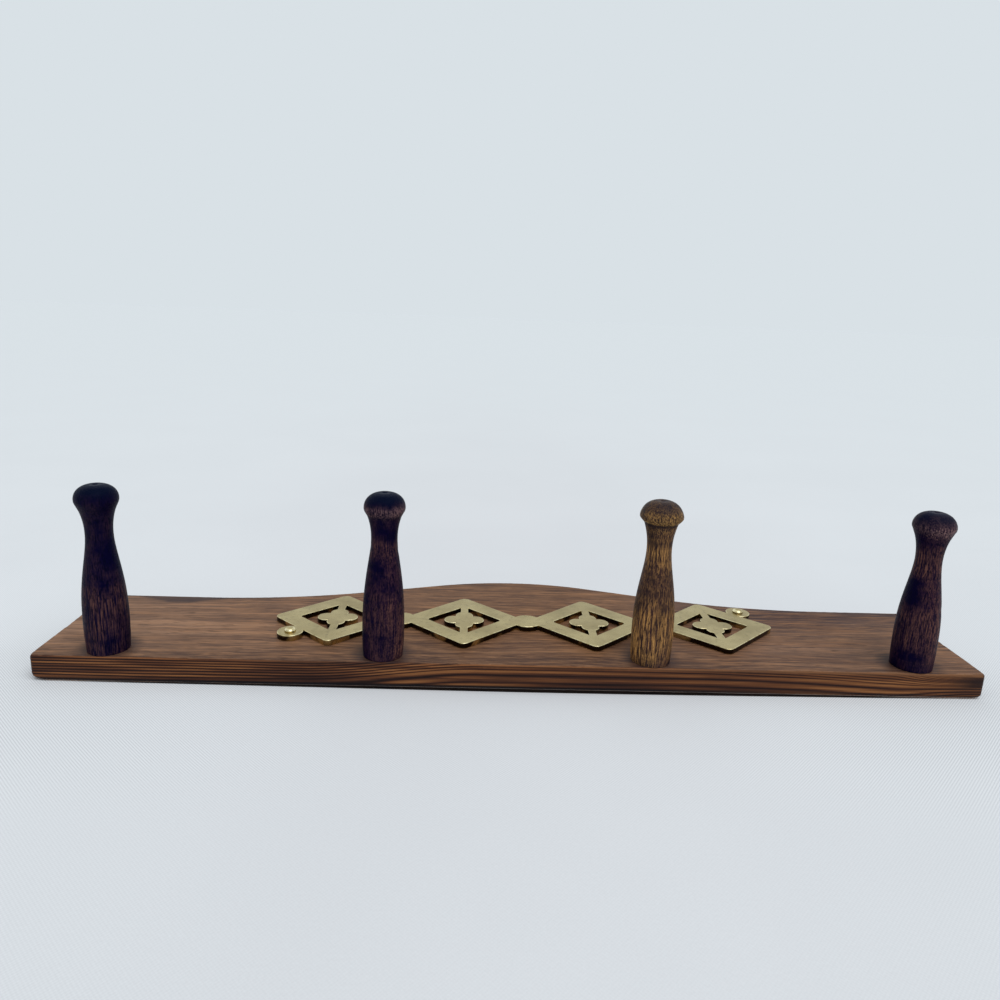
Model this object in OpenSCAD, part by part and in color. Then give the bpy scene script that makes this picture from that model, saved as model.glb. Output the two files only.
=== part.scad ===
// Wall rack for mugs: an arched plank with four turned pegs and a pinned openwork casting.
// Millimetres, as it hangs: +X runs along the plank, +Y goes into the wall and +Z is up.
// The wall is the plane y = 0, and z = 0 is the height of the two screws that carry the rack.

/* [Board] */
// Length of the board from end to end
board_l = 406.4; // [380:0.1:460]
// Height of the board at its two ends
board_h = 70; // [66:0.5:110]
// Thickness of the board
board_t = 11.2; // [10:0.1:18]
// How far the arch rises above the ends
arch_rise = 31.5; // [27:0.5:40]
// How far the arch reaches to each side of its crown
arch_half = 154; // [146:1:186]
// Radius of the arch at its crown
crown_r = 124; // [60:1:300]
// Steepest slope of the arch, in degrees
arch_slope = 18.5; // [15:0.5:22]
// How far right of the middle the crown stands
arch_x = 2; // [-8:0.5:8]
// Radius of the four corners of the board's outline
corner_r = 2; // [1:0.5:8]
// Width of the easing on the board's arrises
arris = 0.6; // [0.2:0.1:0.8]

/* [Pegs] */
// Distance from the end of the board to the centre of the outer peg
peg_inset = 29.2; // [22:0.1:50]
// Height of the pegs' centres above the bottom edge
peg_up = 8.6; // [8.5:0.1:12]
// How far a peg stands out of the face
peg_out = 71.3; // [62:0.1:100]
// How much shorter the right-hand peg was cut at its foot
peg_4_cut = 1.6; // [0:0.1:6]
// Diameter of a peg where it meets the board
peg_foot_d = 17; // [14.5:0.1:18]
// Largest diameter of a peg's body
peg_body_d = 17.9; // [17.1:0.1:22]
// Height of the largest diameter above the face
peg_body_up = 11; // [8:0.5:18]
// Smallest diameter, at the neck behind the head
peg_neck_d = 10.6; // [8:0.1:12.8]
// How far the neck stands back from the tip
peg_neck_back = 20.7; // [18:0.1:26]
// Largest diameter of the head
head_d = 17.1; // [15.2:0.1:22]
// Height of the head's dome above its largest diameter
head_high = 6.3; // [4.5:0.1:7.5]
// How far the crease under the head stands back from the tip
crease_back = 9.2; // [8.4:0.1:12]
// Diameter of the crease under the head
crease_d = 14.4; // [13:0.1:15]
// Diameter of the flat on top of the head
head_flat_d = 6.4; // [3.5:0.1:8]
// Diameter of the lathe's centre mark in the flat
centre_d = 2.6; // [1.5:0.1:3.2]
// Depth of the centre mark
centre_deep = 0.9; // [0.3:0.1:2]

/* [Sockets] */
// Diameter of the tenon on a peg
tenon_d = 12.7; // [9:0.1:14]
// How much wider a socket is than its tenon
socket_gap = 0.1; // [0.05:0.05:0.4]
// How far a tenon stops short of the back face
tenon_short = 0.6; // [0.2:0.1:3]
// Width of the chamfer on a tenon's end
tenon_chamfer = 0.8; // [0.3:0.1:1.5]

/* [Keyholes] */
// Distance from the end of the board to the middle of a keyhole
key_inset = 50.8; // [45:0.1:70]
// Height of the hanging points above the bottom edge
hang_h = 50; // [38:0.5:56]
// How far below its hanging point a keyhole's entry lies
key_run = 12; // [8:0.5:16]
// Diameter of the entry, for the screw's head
key_entry_d = 9.5; // [8:0.1:11]
// Width of the neck, for the screw's shank
key_neck_w = 5; // [4.2:0.1:6.5]
// Depth of a keyhole from the back face
key_deep = 7.5; // [7.4:0.1:8.4]
// Thickness of the lip that the screw's head hangs behind
key_lip = 3.2; // [2:0.1:4]

/* [Ornament] */
// Number of lozenges in the ornament
bays = 4; // [2:1:4]
// Distance from one lozenge to the next
bay_w = 59.5; // [50:0.5:62]
// Height of a lozenge from tip to tip
bay_h = 56; // [48:0.5:60]
// Width of the bars of a lozenge
bar_w = 8.4; // [5:0.1:9.2]
// Radius of a lozenge's outer tips
tip_r = 3; // [1:0.1:6]
// Radius of the corners inside a lozenge
inner_r = 1.4; // [0.5:0.1:4]
// Diameter of the disc where two lozenges meet
link_d = 14; // [9:0.5:18]
// Diameter of each petal of the flower in a lozenge
petal_d = 8.4; // [6:0.1:9.2]
// How far a petal's centre lies from the flower's
petal_off = 5.2; // [4:0.1:5.8]
// Width of the stems that hold the flower
stem_w = 3.6; // [2.5:0.1:5]
// Thickness of the casting
cast_t = 2.7; // [2:0.1:4]
// How far right of the middle the ornament's centre lies
ornament_x = 6; // [-10:0.5:10]
// How far the ornament's centre lies below the ends' top edge
ornament_drop = 28; // [26:0.5:30]
// Diameter of the two ears that the pins go through
ear_d = 11.5; // [9:0.5:13]
// How far an ear's centre stands off its bar's outer edge
ear_off = 4.8; // [3:0.1:7]

/* [Pins] */
// Diameter of a pin's round head
pin_head_d = 5.2; // [4:0.1:8]
// Height of a pin's head
pin_head_h = 1.7; // [1:0.1:2.4]
// Diameter of a pin's shank
pin_d = 1.8; // [1.2:0.1:2.4]
// Length of a pin under its head
pin_l = 10.5; // [8:0.5:12]
// How much wider a pin's hole is than its shank
pin_gap = 0.1; // [0.05:0.05:0.4]

/* [Hidden] */
pegs = 4;
arc_step = 1.5;         // turn from one point of an arc to the next, in degrees
small_arc_step = 10;    // the same on small corners
eps = 0.01;

// Points on an arc from angle a1 to a2, both ends included
function arc(c, r, a1, a2, step) =
    let (n = max(1, ceil(abs(a2 - a1) / step)))
    [for (i = [0:n]) let (a = a1 + (a2 - a1) * i / n) c + r * [cos(a), sin(a)]];

function unit(v) = v / norm(v);

// Outline with each corner of the polygon rounded to radius r
function rounded(points, r) =
    let (n = len(points))
    [for (i = [0:n - 1])
        let (
            p = points[i],
            u = unit(points[(i + n - 1) % n] - p),
            v = unit(points[(i + 1) % n] - p),
            half = acos(u * v) / 2,
            c = p + unit(u + v) * r / sin(half),
            mid = atan2(-(u + v).y, -(u + v).x),
            turn = 90 - half,
            side = u.x * v.y - u.y * v.x > 0 ? -1 : 1
        )
        each arc(c, r, mid - side * turn, mid + side * turn, small_arc_step)];

// Outline drawn in by d, with every side parallel to its old place
function drawn_in(points, d) =
    let (n = len(points))
    [for (i = [0:n - 1])
        let (
            u = unit(points[i] - points[(i + n - 1) % n]),
            v = unit(points[(i + 1) % n] - points[i])
        )
        points[i] + [-u.y - v.y, u.x + v.x] * d / (1 + u * v)];

// The board: one half of the arch, from the crown down to the level edge.
// It is a round crown, a straight slope and a hollow foot, each tangent to the next.
arch_s = sin(arch_slope);
arch_c = cos(arch_slope);
arch_radii = (arch_s * arch_half - arch_c * arch_rise) / (1 - arch_c);
foot_r = arch_radii - crown_r;
arch_top = board_h + arch_rise;

function arch_side(dir) = concat(
    [for (p = arc([0, arch_top - crown_r], crown_r, 90, 90 - arch_slope, arc_step))
        [arch_x + dir * p.x, p.y]],
    [for (p = arc([arch_half, board_h + foot_r], foot_r, 270 - arch_slope, 270, arc_step))
        [arch_x + dir * p.x, p.y]]
);

function reversed(list) = [for (i = [len(list) - 1:-1:0]) list[i]];

end_x = board_l / 2;
key_x = end_x - key_inset;
peg_pitch = (board_l - 2 * peg_inset) / (pegs - 1);
entry_r = key_entry_d / 2;
neck_r = key_neck_w / 2;

// Everything below is drawn lying on the face: x along the board, y up from its bottom edge
// and z out of the face. This hangs it on the wall.
module on_face() {
    translate([0, -board_t, -hang_h])
        rotate([90, 0, 0])
            children();
}

function peg_x(i) = (i - (pegs - 1) / 2) * peg_pitch;

// The board's outline, from the middle of its bottom edge round to the left
board_outline = concat(
    [[0, 0]],
    arc([end_x - corner_r, corner_r], corner_r, 270, 360, small_arc_step),
    arc([end_x - corner_r, board_h - corner_r], corner_r, 0, 90, small_arc_step),
    reversed(arch_side(1)),
    [for (i = [1:len(arch_side(-1)) - 1]) arch_side(-1)[i]],
    arc([-end_x + corner_r, board_h - corner_r], corner_r, 90, 180, small_arc_step),
    arc([-end_x + corner_r, corner_r], corner_r, 180, 270, small_arc_step)
);

// A plank with eased arrises, as four rings of its outline from the back face to the front
module plank() {
    n = len(board_outline);
    inner = drawn_in(board_outline, arris);
    rings = [
        [inner, -board_t],
        [board_outline, -board_t + arris],
        [board_outline, -arris],
        [inner, 0]
    ];
    polyhedron(
        points = [for (ring = rings) for (p = ring[0]) [p.x, p.y, ring[1]]],
        faces = concat(
            [[for (i = [0:n - 1]) i]],
            [for (k = [0:2]) for (i = [0:n - 1])
                let (a = k * n + i, b = k * n + (i + 1) % n)
                [a, a + n, b + n, b]],
            [[for (i = [n:-1:1]) 3 * n + i % n]]
        )
    );
}

// A slot that runs up from the keyhole's entry to its hanging point
module keyway(r, z1, z2) {
    translate([0, 0, z1])
        linear_extrude(z2 - z1)
            union() {
                circle(r, $fn = 48);
                translate([0, -key_run])
                    circle(r, $fn = 48);
                translate([-r, -key_run])
                    square([2 * r, key_run]);
            }
}

module keyhole() {
    back = -board_t;
    keyway(neck_r, back - 1, back + key_deep);
    keyway(entry_r, back + key_lip, back + key_deep);
    translate([0, -key_run, back - 1])
        cylinder(h = 1 + key_deep, r = entry_r, $fn = 48);
}

module board() {
    color([0.36, 0.22, 0.13])
        on_face()
            difference() {
                plank();
                for (i = [0:pegs - 1])
                    translate([peg_x(i), peg_up, -board_t - 1])
                        cylinder(h = board_t + 2, d = tenon_d + socket_gap, $fn = 72);
                for (dir = [-1, 1])
                    translate([dir * key_x, hang_h])
                        keyhole();
                for (p = ear_places)
                    translate([p.x, p.y, cast_t - pin_l - 1])
                        cylinder(h = pin_l + 1, d = pin_d + pin_gap, $fn = 32);
            }
}

// The peg's outline from its foot to its tip: a full body that draws in late to the neck,
// a flare up to the crease, a rounded edge, and a round head with a small flat on top
body_r = peg_body_d / 2;
neck_half = peg_neck_d / 2;
neck_up = peg_out - peg_neck_back;
head_r = head_d / 2;
rim_up = peg_out - head_high;
dome_power = 2.3;       // above 2, the dome is fuller than an ellipse
dome_end = acos(pow(head_flat_d / head_d, dome_power / 2));
dome_half = head_high / pow(sin(dome_end), 2 / dome_power);
crease_up = peg_out - crease_back;
crease_slope = 30;      // the head's rounded edge starts this steep at the crease
waist_bias = 1.5;       // above 1, the body stays full for longer before it draws in
waist_steps = 24;
dome_steps = 12;
edge_steps = 6;

function smooth(t) = t * t * (3 - 2 * t);

function peg_side() = concat(
    [for (i = [0:5])
        let (t = i / 6)
        [peg_foot_d / 2 + (body_r - peg_foot_d / 2) * sin(90 * t), peg_body_up * t]],
    [for (i = [0:waist_steps])
        let (t = i / waist_steps)
        [body_r + (neck_half - body_r) * smooth(pow(t, waist_bias)),
            peg_body_up + (neck_up - peg_body_up) * t]],
    [for (i = [1:8])
        let (t = i / 8)
        [neck_half + (crease_d / 2 - neck_half) * (1 - cos(90 * t)) * (0.55 + 0.45 * t),
            neck_up + (crease_up - neck_up) * t]],
    [for (i = [1:edge_steps])
        let (
            a = crease_slope + (90 - crease_slope) * i / edge_steps,
            edge_x = (head_r - crease_d / 2) / (1 - sin(crease_slope)),
            edge_y = (rim_up - crease_up) / cos(crease_slope)
        )
        [head_r - edge_x * (1 - sin(a)), rim_up - edge_y * cos(a)]],
    [for (i = [1:dome_steps])
        let (a = dome_end * i / dome_steps)
        [head_r * pow(cos(a), 2 / dome_power), rim_up + dome_half * pow(sin(a), 2 / dome_power)]],
    [[centre_d / 2, peg_out], [0, peg_out - centre_deep]]
);

module turned_peg(i, cut) {
    tenon_end = -board_t + tenon_short;
    tenon_r = tenon_d / 2;
    on_face()
        translate([peg_x(i), peg_up])
            rotate_extrude($fn = 72)
                union() {
                    intersection() {
                        translate([0, -cut])
                            polygon(concat([[0, 0]], peg_side()));
                        square([2 * peg_body_d, 2 * peg_out]);
                    }
                    polygon([
                        [0, eps],
                        [0, tenon_end],
                        [tenon_r - tenon_chamfer, tenon_end],
                        [tenon_r, tenon_end + tenon_chamfer],
                        [tenon_r, eps]
                    ]);
                }
}

module peg_1() {
    color([0.13, 0.08, 0.09])
        turned_peg(0, 0);
}

module peg_2() {
    color([0.16, 0.1, 0.09])
        turned_peg(1, 0);
}

module peg_3() {
    color([0.4, 0.26, 0.13])
        turned_peg(2, 0);
}

module peg_4() {
    color([0.15, 0.09, 0.09])
        turned_peg(3, peg_4_cut);
}

// The ornament: a row of open lozenges joined tip to tip, each with a four-petalled flower
loz_x = bay_w / 2;
loz_y = bay_h / 2;
loz_reach = loz_x * loz_y / norm([loz_x, loz_y]);       // from a lozenge's centre to its side
loz_inner = 1 - bar_w / loz_reach;
side_out = [loz_y, loz_x] / norm([loz_x, loz_y]);       // outward normal of the upper right side
ornament_y = board_h - ornament_drop;
ear_at = [loz_x / 2, loz_y / 2] + side_out * ear_off;
bay_reach = (bays - 1) / 2 * bay_w;
ear_places = [for (dir = [-1, 1])
    [ornament_x + dir * (bay_reach + ear_at.x), ornament_y + dir * ear_at.y]];

function lozenge(k) = [[-loz_x, 0], [0, -loz_y], [loz_x, 0], [0, loz_y]] * k;

module flower() {
    for (a = [0:90:270])
        rotate(a)
            translate([petal_off, 0])
                circle(d = petal_d, $fn = 36);
    square([stem_w, 2 * loz_y - bar_w], center = true);
}

module bay() {
    difference() {
        polygon(rounded(lozenge(1), tip_r));
        polygon(rounded(lozenge(loz_inner), inner_r));
    }
    flower();
}

module ear(dir) {
    translate(dir * ear_at)
        circle(d = ear_d, $fn = 48);
}

module brass_ornament() {
    color([0.72, 0.6, 0.33])
        on_face()
            linear_extrude(cast_t)
                difference() {
                    translate([ornament_x, ornament_y])
                        union() {
                            for (i = [0:bays - 1])
                                translate([(i - (bays - 1) / 2) * bay_w, 0])
                                    bay();
                            for (i = [1:bays - 1])
                                translate([(i - bays / 2) * bay_w, 0])
                                    circle(d = link_d, $fn = 48);
                            for (dir = [-1, 1])
                                translate([dir * bay_reach, 0])
                                    ear(dir);
                        }
                    for (p = ear_places)
                        translate(p)
                            circle(d = pin_d + pin_gap, $fn = 32);
                }
}

// A round-headed pin: its dome is a cap of the sphere through its rim
dome_r = (pow(pin_head_d / 2, 2) + pow(pin_head_h, 2)) / (2 * pin_head_h);

module pin() {
    point_l = pin_d;
    rotate_extrude($fn = 48)
        union() {
            intersection() {
                translate([0, pin_head_h - dome_r])
                    circle(dome_r, $fn = 96);
                square([pin_head_d, pin_head_h]);
            }
            polygon([[0, -pin_l], [pin_d / 2, -pin_l + point_l], [pin_d / 2, eps], [0, eps]]);
        }
}

module ornament_pins() {
    color([0.78, 0.66, 0.38])
        on_face()
            for (p = ear_places)
                translate([p.x, p.y, cast_t])
                    pin();
}

board();
peg_1();
peg_2();
peg_3();
peg_4();
brass_ornament();
ornament_pins();
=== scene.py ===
# Looks of the wall rack for mugs, built on its CAD model in the same frame. Metres: +X runs
# along the board, +Y goes into the wall and +Z is up. The wall is y = 0, and the pegs point
# along -Y.
import math
from collections import namedtuple
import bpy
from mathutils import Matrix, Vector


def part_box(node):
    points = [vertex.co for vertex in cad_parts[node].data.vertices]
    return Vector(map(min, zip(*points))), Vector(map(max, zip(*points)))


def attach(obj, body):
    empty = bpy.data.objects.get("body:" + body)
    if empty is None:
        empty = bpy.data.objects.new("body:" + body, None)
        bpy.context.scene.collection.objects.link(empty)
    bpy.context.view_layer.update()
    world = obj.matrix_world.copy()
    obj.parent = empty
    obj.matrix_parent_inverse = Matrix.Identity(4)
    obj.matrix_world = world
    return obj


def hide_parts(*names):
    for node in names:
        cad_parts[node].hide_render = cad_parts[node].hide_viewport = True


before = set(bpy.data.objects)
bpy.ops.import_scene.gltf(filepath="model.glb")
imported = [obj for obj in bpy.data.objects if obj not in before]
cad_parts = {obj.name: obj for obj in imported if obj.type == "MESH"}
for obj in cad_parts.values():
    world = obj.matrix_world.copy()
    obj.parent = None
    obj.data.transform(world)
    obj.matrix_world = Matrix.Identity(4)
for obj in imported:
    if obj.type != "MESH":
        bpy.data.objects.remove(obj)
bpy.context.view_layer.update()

from types import SimpleNamespace

import bmesh
import bpy
import numpy as np
from mathutils import Matrix, Vector

scene = bpy.context.scene
scene.view_settings.view_transform = "Standard"

# Sizes of the visual model, in metres
MM = 0.001
SAME = 1e-6                 # places less than this apart are the same
ON_AXIS = 1e-5              # what is nearer than this to a peg's axis lies on it
WELD = 1e-7
SKIN = 0.02 * MM            # how far a worn surface starts inside the exact one
FRONT_ARRIS = 0.7 * MM      # the board's eased edges
BACK_ARRIS = 0.5 * MM
RIM = 0.4 * MM              # a flat band inside each of them
OUTLINE_STEP = 1.1 * MM     # the longest step along the board's outline
CAST_EDGE = 0.32 * MM       # radius of the casting's edges
PEG_RADIUS = 9 * MM
PEG_HEAD = 9 * MM           # from the crease under a peg's head to its tip
PEG_TENON = 6.6 * MM        # a radius between those of a tenon and of a peg's foot
PEG_STEP = 0.32 * MM        # the step along a peg's profile
PEG_SEGMENTS = 144
PEG_RISE = 0.2              # degrees by which every peg leans towards the arch
PEG_UNIT = 80 * MM          # heights on a peg are shares of this in its material
PIN_SEGMENTS = 48
PIN_SHANK = 0.9 * MM        # radius
HALF_BOARD = 200 * MM       # places along the board are shares of this in its material

# How far each peg leans along the board, in degrees, the crispness of the crease under its
# head and the depth of its painted shade, how much fuller its neck and its head's rim are,
# and the seed of its tool marks
Peg = namedtuple("Peg", "lean crisp neck rim seed")
PEGS = {
    "peg_1": Peg(0.14, 0.25, 0.1 * MM, 0.05 * MM, 11),
    "peg_2": Peg(0.56, 0.6, 0.45 * MM, 0.1 * MM, 23),
    "peg_3": Peg(-0.36, 1.0, 0.0, 0.6 * MM, 37),
    "peg_4": Peg(-0.16, 0.1, 0.05 * MM, 0.25 * MM, 41),
}

# The photograph's camera, in the rack's own directions as it lies on its back: x along the
# board, y from its lower edge to its arch and z out of its face. It stands this far from the
# middle of the lower edge of the board's face
CAMERA_STAND = (-0.02144, -0.29478, 0.14383)
CAMERA_PITCH, CAMERA_YAW, CAMERA_ROLL = (math.radians(a) for a in (13.731, 2.135, -2.168))
CAMERA_LENS, CAMERA_SENSOR = 27.344, 36     # mm

KEY_WAY = (0.3, -1.0, -0.42)                # from the rack to the key light


# Small tools

def waves(points, size, seed, count=10):
    """Smooth seeded noise of about unit strength, with features of the given size."""
    rng = np.random.default_rng(seed)
    points = np.asarray(points, float).reshape(len(points), -1)
    total = np.zeros(len(points))
    for _ in range(count):
        way = rng.normal(size=points.shape[1])
        way *= rng.uniform(0.6, 1.5) / np.linalg.norm(way)
        total += np.sin(points @ way * 2 * math.pi / size + rng.uniform(0, 2 * math.pi))
    return total / math.sqrt(count / 2)


def running_length(points):
    """The length along a line up to each of its points."""
    return np.concatenate([[0], np.cumsum(np.hypot(*np.diff(points, axis=0).T))])


def mesh_piece(name, points, faces, smooth=True):
    mesh = bpy.data.meshes.new(name)
    mesh.from_pydata([tuple(p) for p in points], [], [tuple(f) for f in faces])
    mesh.validate()
    if smooth:
        mesh.shade_smooth()
    piece = bpy.data.objects.new(name, mesh)
    scene.collection.objects.link(piece)
    return piece


def bands(ring_count, count):
    """The quads between closed rings of count points each, numbered ring by ring."""
    faces = []
    for k in range(ring_count - 1):
        for i in range(count):
            a, b = k * count + i, k * count + (i + 1) % count
            faces.append((a, b, b + count, a + count))
    return faces


def turned(rings):
    """The faces between the rings of a turned shape, from the wall to its tip. A ring of one
    point closes an end."""
    faces = []
    for a, b in zip(rings[:-1], rings[1:]):
        count = max(len(a), len(b))
        for i in range(count):
            j = (i + 1) % count
            if len(a) == 1:
                faces.append((a[0], b[j], b[i]))
            elif len(b) == 1:
                faces.append((a[i], a[j], b[0]))
            else:
                faces.append((a[i], a[j], b[j], b[i]))
    return faces


def applied(piece):
    """Replaces a piece's mesh by its shape with all modifiers."""
    graph = bpy.context.evaluated_depsgraph_get()
    mesh = bpy.data.meshes.new_from_object(piece.evaluated_get(graph))
    piece.modifiers.clear()
    piece.data = mesh
    return piece


def dropped(piece):
    bpy.data.objects.remove(piece, do_unlink=True)


def finish_piece(piece, node, material):
    """Gives a piece its material and lets it stand for a CAD node."""
    piece.data.materials.clear()
    piece.data.materials.append(material)
    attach(piece, "root")
    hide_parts(node)


def cad_points(node):
    """A CAD node's different vertices."""
    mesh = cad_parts[node].data
    points = np.empty(len(mesh.vertices) * 3)
    mesh.vertices.foreach_get("co", points)
    return np.unique(points.reshape(-1, 3).round(7), axis=0)


def welded(mesh):
    """A bmesh of a CAD mesh, closed."""
    work = bmesh.new()
    work.from_mesh(mesh)
    bmesh.ops.remove_doubles(work, verts=work.verts, dist=WELD)
    return work


def welded_copy(node, name):
    """A closed copy of a CAD node, to cut with."""
    copy = bpy.data.objects.new(name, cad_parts[node].data.copy())
    scene.collection.objects.link(copy)
    work = welded(copy.data)
    work.to_mesh(copy.data)
    work.free()
    return copy


def filled(name, loops, half, edge):
    """A flat shape in the plane of the board: loops of (x, z) points filled between, made
    2 * half thick round y = 0, with its edges rounded."""
    curve = bpy.data.curves.new(name, "CURVE")
    curve.dimensions = "2D"
    curve.fill_mode = "BOTH"
    curve.extrude = max(half - edge, 0)
    curve.bevel_depth = edge
    curve.bevel_resolution = 3
    curve.offset = -edge
    for loop in loops:
        spline = curve.splines.new("POLY")
        spline.points.add(len(loop) - 1)
        spline.points.foreach_set("co", [c for x, z in loop for c in (x, z, 0, 1)])
        spline.use_cyclic_u = True
    flat = bpy.data.objects.new(name + "_curve", curve)
    scene.collection.objects.link(flat)
    graph = bpy.context.evaluated_depsgraph_get()
    mesh = bpy.data.meshes.new_from_object(flat.evaluated_get(graph))
    dropped(flat)
    mesh.transform(Matrix.Rotation(math.pi / 2, 4, "X"))
    piece = bpy.data.objects.new(name, mesh)
    scene.collection.objects.link(piece)
    return piece


# Materials

class Shader:
    """A material's node tree, built call by call."""

    def __init__(self, owner):
        owner.use_nodes = True
        self.tree = owner.node_tree
        self.tree.nodes.clear()

    def add(self, kind, settings=None, **sockets):
        """A node with its settings. Sockets are named with _ for a space, or numbered: s0."""
        node = self.tree.nodes.new("ShaderNode" + kind)
        for key, value in (settings or {}).items():
            setattr(node, key, value)
        for key, value in sockets.items():
            if key[0] == "s" and key[1:].isdigit():
                socket = node.inputs[int(key[1:])]
            else:
                socket = node.inputs[key.replace("_", " ")]
            if isinstance(value, bpy.types.NodeSocket):
                self.tree.links.new(value, socket)
            else:
                socket.default_value = value
        return node

    def math(self, how, a, b=0.0, c=0.0, clamp=False):
        return self.add("Math", {"operation": how, "use_clamp": clamp}, s0=a, s1=b,
                        s2=c).outputs[0]

    def times(self, a, b, clamp=False):
        return self.math("MULTIPLY", a, b, clamp=clamp)

    def linear(self, a, scale, shift, clamp=False):
        """a * scale + shift"""
        return self.math("MULTIPLY_ADD", a, scale, shift, clamp)

    def step(self, value, low, high, top):
        """Rises softly from 0 where the value is low to top where it is high."""
        return self.add("MapRange", {"interpolation_type": "SMOOTHSTEP"}, Value=value,
                        From_Min=low, From_Max=high, To_Max=top).outputs[0]

    def place(self):
        return self.add("TexCoord").outputs["Object"]

    def split(self, vector):
        return self.add("SeparateXYZ", Vector=vector).outputs

    def facing(self, axis):
        """How squarely the surface faces along an axis, either way: 0 to 1."""
        normal = self.add("NewGeometry").outputs["Normal"]
        return self.math("ABSOLUTE", self.split(normal)[axis])

    def distance(self, a, b):
        return self.add("VectorMath", {"operation": "DISTANCE"}, s0=a, s1=b).outputs["Value"]

    def stretched(self, vector, scale, shift=(0, 0, 0)):
        moved = self.add("VectorMath", {"operation": "ADD"}, s0=vector, s1=shift).outputs[0]
        return self.add("VectorMath", {"operation": "MULTIPLY"}, s0=moved,
                        s1=scale).outputs[0]

    def noise(self, vector, scale, detail=2.0, rough=0.5, shift=(0, 0, 0)):
        """Noise with features of about 1 / scale; scale is a number, or one for each axis."""
        if isinstance(scale, tuple):
            vector, scale = self.stretched(vector, scale, shift), 1
        return self.add("TexNoise", Vector=vector, Scale=scale, Detail=detail,
                        Roughness=rough).outputs["Fac"]

    def ramp(self, value, *stops):
        """Colours or greys by value; a stop is (place, colour)."""
        node = self.add("ValToRGB", Fac=value)
        points = node.color_ramp.elements
        while len(points) < len(stops):
            points.new(0.5)
        for point, (place, colour) in zip(points, stops):
            point.position = place
            if not isinstance(colour, tuple):
                colour = (colour,) * 3
            point.color = (*colour, 1)
        return node.outputs["Color"]

    def mix(self, factor, a, b):
        def colour(c):
            return (*c, 1) if isinstance(c, tuple) and len(c) == 3 else c
        node = self.add("Mix", {"data_type": "RGBA", "blend_type": "MIX"}, s0=factor,
                        s6=colour(a), s7=colour(b))
        return node.outputs[2]

    def layers(self, colour, *over):
        """A colour with others laid over it in turn; each is (how much, colour)."""
        for share, next_colour in over:
            colour = self.mix(share, colour, next_colour)
        return colour

    def bump(self, height, strength, distance, under=None):
        node = self.add("Bump", Height=height, Strength=strength, Distance=distance)
        if under is not None:
            self.tree.links.new(under, node.inputs["Normal"])
        return node.outputs[0]

    def surface(self, shader):
        self.add("OutputMaterial", Surface=shader)


def srgb(r, g, b):
    """A colour given as 0 to 255, as the shader wants it."""
    return tuple((v / 12.92 if v <= 0.04045 else ((v + 0.055) / 1.055) ** 2.4)
                 for v in (r / 255, g / 255, b / 255))


def board_noises(s):
    """What the board's face, edges and ends share: places, grain and patches."""
    place = s.place()
    x, y, z = s.split(place)

    # The grain wanders a little as it runs along the plank
    bend = s.linear(s.noise(place, (13, 22, 22), 3), 0.012, -0.006)
    grain = s.add("CombineXYZ", X=x, Y=s.math("ADD", y, s.times(bend, 0.35)),
                  Z=s.math("ADD", z, bend)).outputs[0]
    return SimpleNamespace(
        place=place, x=x, y=y, z=z, grain=grain,
        front=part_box("board")[0].y,
        along=s.times(x, 1 / HALF_BOARD),
        line=s.noise(grain, (17, 440, 440), 3, 0.65),
        fibre=s.noise(grain, (60, 1000, 1000), 3, 0.7),
        cloud=s.noise(place, (8, 26, 26), 3, 0.6, (0.05, 0, 0)),
        hair=s.noise(place, (16, 800, 800), 3, 0.55, (0.7, 0, 0)))


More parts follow.
